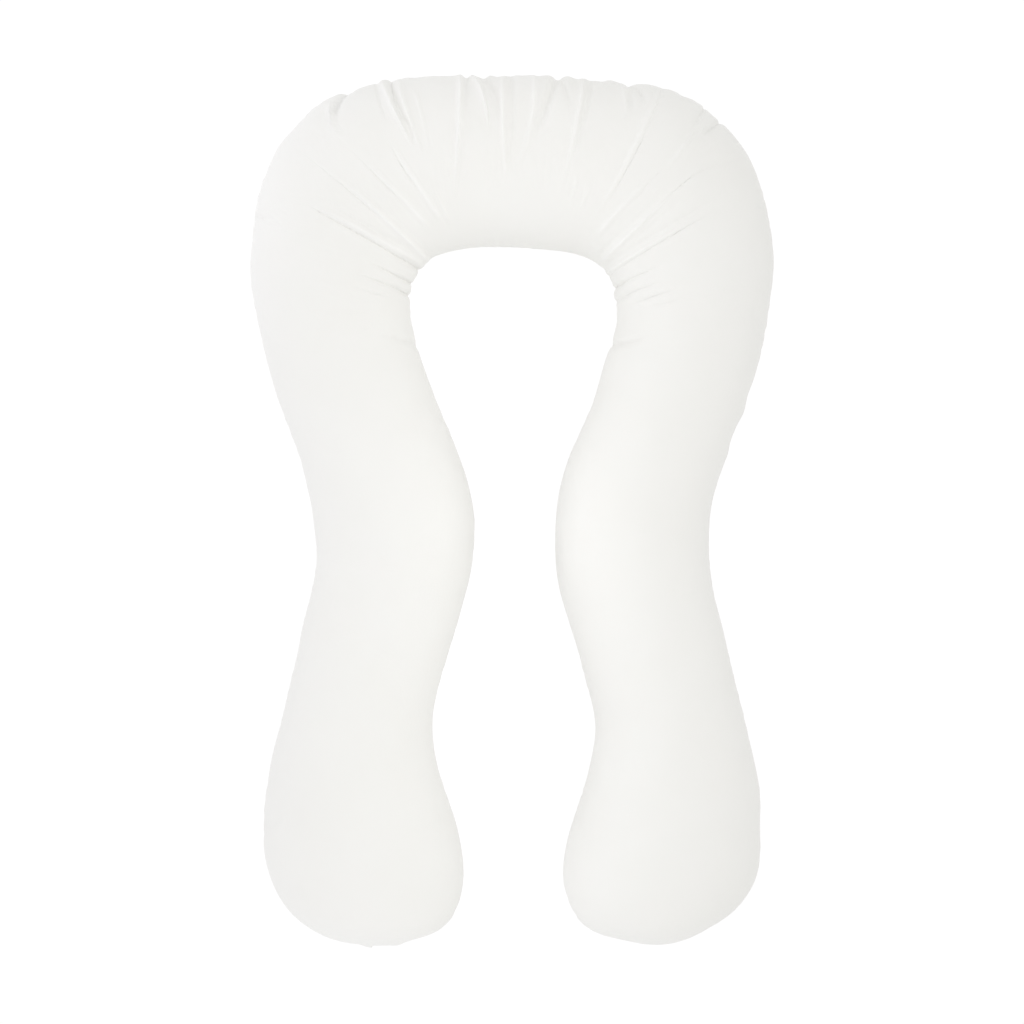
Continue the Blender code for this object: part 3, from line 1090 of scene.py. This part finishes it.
def feed(tree: Tree, node: Node, feeds: Feeds) -> None:
    """Links sockets to a node's inputs, and sets plain values on them.

    Args:
        tree: The node's tree.
        node: The node.
        feeds: The sockets and values, by the input's name or number.
    """
    for key, value in feeds.items():
        if isinstance(value, Socket):
            tree.links.new(value, node.inputs[key])
        else:
            node.inputs[key].default_value = value


def add_node(tree: Tree, kind: str, feeds: Feeds | None = None, **settings: object) -> Node:
    """Adds a node to a tree.

    Args:
        tree: The tree.
        kind: The node's type, without the word ShaderNode.
        feeds: What goes into its inputs, as feed takes it.
        settings: Its own settings.

    Returns:
        The node.
    """
    node = tree.nodes.new(f"ShaderNode{kind}")
    for name, value in settings.items():
        setattr(node, name, value)
    feed(tree, node, feeds or {})
    return node


def add_math(tree: Tree, operation: str, *values: Socket | float) -> Socket:
    """Adds a Math node that works on the given sockets and numbers, and gives its output."""
    return add_node(tree, "Math", dict(enumerate(values)), operation=operation).outputs[0]


def new_group(name: str, size: str, result: str) -> tuple[Tree, Node, Node]:
    """Starts a shader node group that makes a pattern from a place and a size.

    Args:
        name: The group's name.
        size: What its size is called.
        result: What its pattern is called.

    Returns:
        The group's tree, and its input and output nodes.
    """
    tree = bpy.data.node_groups.new(name, "ShaderNodeTree")
    for socket, end, kind in (
        ("Place", "INPUT", "NodeSocketVector"),
        (size, "INPUT", "NodeSocketFloat"),
        (result, "OUTPUT", "NodeSocketFloat"),
    ):
        tree.interface.new_socket(socket, in_out=end, socket_type=kind)
    return tree, tree.nodes.new("NodeGroupInput"), tree.nodes.new("NodeGroupOutput")


def weave_group() -> Tree:
    """Makes the plain weave: its height is (1 + cos(2 pi x / pitch) cos(2 pi y / pitch)) / 2.

    Returns:
        The group, which takes the place on the cloth in metres and the threads' pitch.
    """
    tree, given, result = new_group("plain_weave", "Pitch", "Height")
    parts = add_node(tree, "SeparateXYZ", {0: given.outputs["Place"]})
    waves = []
    for axis in ("X", "Y"):
        turns = add_math(tree, "DIVIDE", parts.outputs[axis], given.outputs["Pitch"])
        waves.append(add_math(tree, "COSINE", add_math(tree, "MULTIPLY", turns, 2 * math.pi)))
    both = add_math(tree, "MULTIPLY", *waves)
    feed(tree, result, {"Height": add_math(tree, "MULTIPLY_ADD", both, 0.5, 0.5)})
    return tree


def unevenness_group() -> Tree:
    """Makes soft patches, as cloth has them where it was handled and washed.

    Returns:
        The group, which takes a place and the patches' size in metres and puts out a tone.
    """
    tree, given, result = new_group("unevenness", "Size", "Tone")
    scale = add_math(tree, "DIVIDE", 1.0, given.outputs["Size"])
    feeds = {"Vector": given.outputs["Place"], "Scale": scale, "Detail": 3.0}
    feed(tree, result, {"Tone": add_node(tree, "TexNoise", feeds).outputs["Fac"]})
    return tree


def new_material(name: str) -> tuple[bpy.types.Material, Tree, Node]:
    """Starts a material, and gives it with its tree and its Principled BSDF."""
    material = bpy.data.materials.new(name)
    material.use_nodes = True
    return material, material.node_tree, material.node_tree.nodes["Principled BSDF"]


@dataclass(frozen=True)
class Cotton:
    """Off-white smooth cotton: a fine plain weave, darker in its seam (painted shade) and paler on its
    rolls' crests (painted highlight).

    light and dull are its tones in patches, smoothest and roughest its roughness there.
    """

    light: Colour = (0.880, 0.877, 0.858, 1.0)
    dull: Colour = (0.858, 0.853, 0.828, 1.0)
    # Painted shade: the darker, warmer colour laid along the seam, where shade falls in the drawn-in
    # join.
    seam: Colour = (0.780, 0.765, 0.715, 1.0)
    # Painted highlight: the paler colour laid on the crests of the rolls.
    painted_highlight: Colour = (0.908, 0.905, 0.887, 1.0)
    smoothest: float = 0.80
    roughest: float = 0.92
    sheen: float = 0.12
    pitch: float = 0.00062
    thread_height: float = 0.00004
    crimp_size: float = 0.006
    crimp_height: float = 0.00010
    patch_size: float = 0.11
    seam_shade_width: float = 0.0016

    def material(self) -> bpy.types.Material:
        """Builds the cotton.

        Returns:
            Its material.
        """
        material, tree, shader = new_material("cotton")
        place = add_node(tree, "TexCoord").outputs["Object"]
        panels = add_node(tree, "UVMap", uv_map="panels").outputs["UV"]
        gap, crest_highlight = (
            add_node(tree, "Attribute", attribute_name=name).outputs["Fac"]
            for name in ("seam_gap", "crest_highlight")
        )

        patches = self.uneven(tree, place, self.patch_size)
        cloth = self.blend(tree, patches, self.dull, self.light)
        # Painted highlight: the paler colour is mixed in on the crests of the rolls.
        cloth = self.blend(tree, crest_highlight, cloth, self.painted_highlight)
        # Painted shade: the seam colour is mixed in within a narrow band each side of the seam.
        seam_shade_range = {"Value": gap, "From Min": self.seam_shade_width, "From Max": 0.0}
        seam_shade_mask = add_node(tree, "MapRange", seam_shade_range, interpolation_type="SMOOTHSTEP")
        rough_range = {"Value": patches, "To Min": self.smoothest, "To Max": self.roughest}
        rough = add_node(tree, "MapRange", rough_range)

        threads = {"Place": panels, "Pitch": self.pitch}
        weave = add_node(tree, "Group", threads, node_tree=weave_group())
        crimp = self.uneven(tree, panels, self.crimp_size)
        crimped = self.bump(tree, crimp, self.crimp_height)
        feeds = {
            "Base Color": self.blend(tree, seam_shade_mask.outputs["Result"], cloth, self.seam),
            "Roughness": rough.outputs["Result"],
            "Sheen Weight": self.sheen,
            "Normal": self.bump(tree, weave.outputs["Height"], self.thread_height, crimped),
        }
        feed(tree, shader, feeds)
        return material

    def uneven(self, tree: Tree, place: Socket, size: float) -> Socket:
        """Adds the unevenness at one size and gives its tone."""
        group = bpy.data.node_groups.get("unevenness") or unevenness_group()
        feeds = {"Place": place, "Size": size}
        return add_node(tree, "Group", feeds, node_tree=group).outputs["Tone"]

    def blend(self, tree: Tree, share: Socket, first: Socket | Colour, second: Colour) -> Socket:
        """Mixes a share of the second colour into the first one."""
        feeds = {0: share, 6: first, 7: second}
        return add_node(tree, "Mix", feeds, data_type="RGBA").outputs[2]

    def bump(self, tree: Tree, height: Socket, tall: float, under: Socket | None = None) -> Socket:
        """Raises a relief on the cloth.

        Args:
            tree: The material's tree.
            height: The relief, from 0 to 1.
            tall: How high 1 is, in metres.
            under: The normal of a relief below it, if there is one.

        Returns:
            The new normal.
        """
        feeds = {"Height": height, "Distance": tall}
        if under is not None:
            feeds["Normal"] = under
        return add_node(tree, "Bump", feeds).outputs["Normal"]


# -------- The studio


@dataclass(frozen=True)
class Floor:
    """A plain pale floor, wide enough to fill every view."""

    half_size: float = 30.0
    colour: Colour = (0.08, 0.08, 0.08, 1.0)
    roughness: float = 0.9
    glow: float = 0.93
    glow_colour: Colour = (1.0, 1.0, 1.0, 1.0)

    def build(self) -> Object:
        """Makes the floor just under the pillow.

        Returns:
            Its object.
        """
        size = self.half_size
        square = [(-size, -size, 0), (size, -size, 0), (size, size, 0), (-size, size, 0)]
        mesh = bpy.data.meshes.new("floor")
        mesh.from_pydata(square, [], [(0, 1, 2, 3)])
        material, tree, shader = new_material("floor")
        feeds = {
            "Base Color": self.colour,
            "Roughness": self.roughness,
            "Emission Color": self.glow_colour,
            "Emission Strength": self.glow,
        }
        feed(tree, shader, feeds)
        mesh.materials.append(material)
        floor = place_object("floor", mesh)
        return floor


CENTRE: Place = (0.0, 0.0, 0.0)
WHITE: Tint = (1.0, 1.0, 1.0)
COOL: Tint = (1.0, 1.0, 1.12)
WARM: Tint = (1.0, 0.98, 0.85)


class LightRole(Enum):
    """What each studio light is for."""

    KEY = "key"
    FOOT = "foot"
    FILL = "fill"
    OVERHEAD = "overhead"
    TOP = "top"
    GAP = "gap"


@dataclass(frozen=True)
class SoftLight:
    """A soft light: its place, what it faces, its strength there, its size and its tint.

    A soft box has a width and a length, in metres. A light from far off has its spread in
    degrees instead, and only its direction counts.
    """

    role: LightRole
    place: Place
    faces: Place
    strength: float
    size: Point | float
    tint: Tint = WHITE

    def build(self) -> Object:
        """Hangs the light and turns it to what it faces.

        The power of a light from far off is strength pi. A soft box's is strength pi^2
        distance^2, with which a small flat lamp gives strength at that distance straight ahead.

        Returns:
            The light's object.
        """
        away = Vector(self.place) - Vector(self.faces)
        far = isinstance(self.size, float)
        lamp = bpy.data.lights.new(self.role.value, "SUN" if far else "AREA")
        lamp.color = self.tint
        if far:
            lamp.energy = self.strength * math.pi
            lamp.angle = math.radians(self.size)
        else:
            lamp.energy = self.strength * (math.pi * away.length) ** 2
            lamp.shape = "RECTANGLE"
            lamp.size, lamp.size_y = self.size
        light = place_object(lamp.name, lamp)
        light.location = self.place
        light.rotation_euler = (-away).to_track_quat("-Z", "Y").to_euler()
        light.visible_camera = False
        return light


@dataclass(frozen=True)
class Studio:
    """The soft light all round, the soft boxes and the camera straight above."""

    ambient: float = 0.752
    ambient_colour: Colour = (1.0, 0.998, 0.992, 1.0)
    view_width: float = 1.7014
    view_centre: Point = (0.0, -0.0009)
    camera_height: float = 6.0
    camera_sees: float = 100.0
    seam_height: float = 0.086
    lights: tuple[SoftLight, ...] = (
        SoftLight(LightRole.KEY, (-1.5, 0.9, 0.4), (-0.1, 0.3, 0.1), 0.115, (0.5, 0.5), COOL),
        SoftLight(LightRole.FOOT, (-1.1, -1.5, 0.4), (-0.25, -0.6, 0.1), 0.095, (0.5, 0.5), COOL),
        SoftLight(LightRole.FILL, (3.62523, 0.0, 1.69047), CENTRE, 0.036, 30.0, WARM),
        SoftLight(LightRole.OVERHEAD, (0.0, 0.0, 4.0), CENTRE, 0.097, 40.0),
        SoftLight(LightRole.TOP, (0.0, 0.0, 0.9), CENTRE, 0.294, (0.4, 2.6)),
        SoftLight(LightRole.GAP, (0.02, -0.03, 0.42), (0.02, -0.03, 0.0), 0.028, (0.1, 0.3)),
    )

    def build(self) -> None:
        """Sets the world, the lights, the camera and the plain colour response."""
        scene = bpy.context.scene
        world = bpy.data.worlds.new("studio")
        world.use_nodes = True
        tree = world.node_tree
        sky = {"Color": self.ambient_colour, "Strength": self.ambient}
        feed(tree, tree.nodes["Background"], sky)
        scene.world = world
        for light in self.lights:
            light.build()
        lens = bpy.data.cameras.new("camera")
        distance = self.camera_height - self.seam_height
        lens.lens = lens.sensor_width * distance / self.view_width
        lens.clip_end = self.camera_sees
        scene.camera = place_object("camera", lens)
        scene.camera.location = (*self.view_centre, self.camera_height)
        scene.view_settings.view_transform = "Standard"


def main() -> None:
    """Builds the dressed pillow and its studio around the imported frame."""
    logging.basicConfig(level=logging.INFO, format="%(name)s: %(message)s")
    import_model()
    Studio().build()
    Floor().build()
    pillow = PillowCover()
    cover = pillow.build(Stuffing())
    pillow.dress(cover, Cotton())
    LOG.info("%s: %d faces", cover.name, len(cover.data.polygons))


if __name__ == "__main__":
    main()
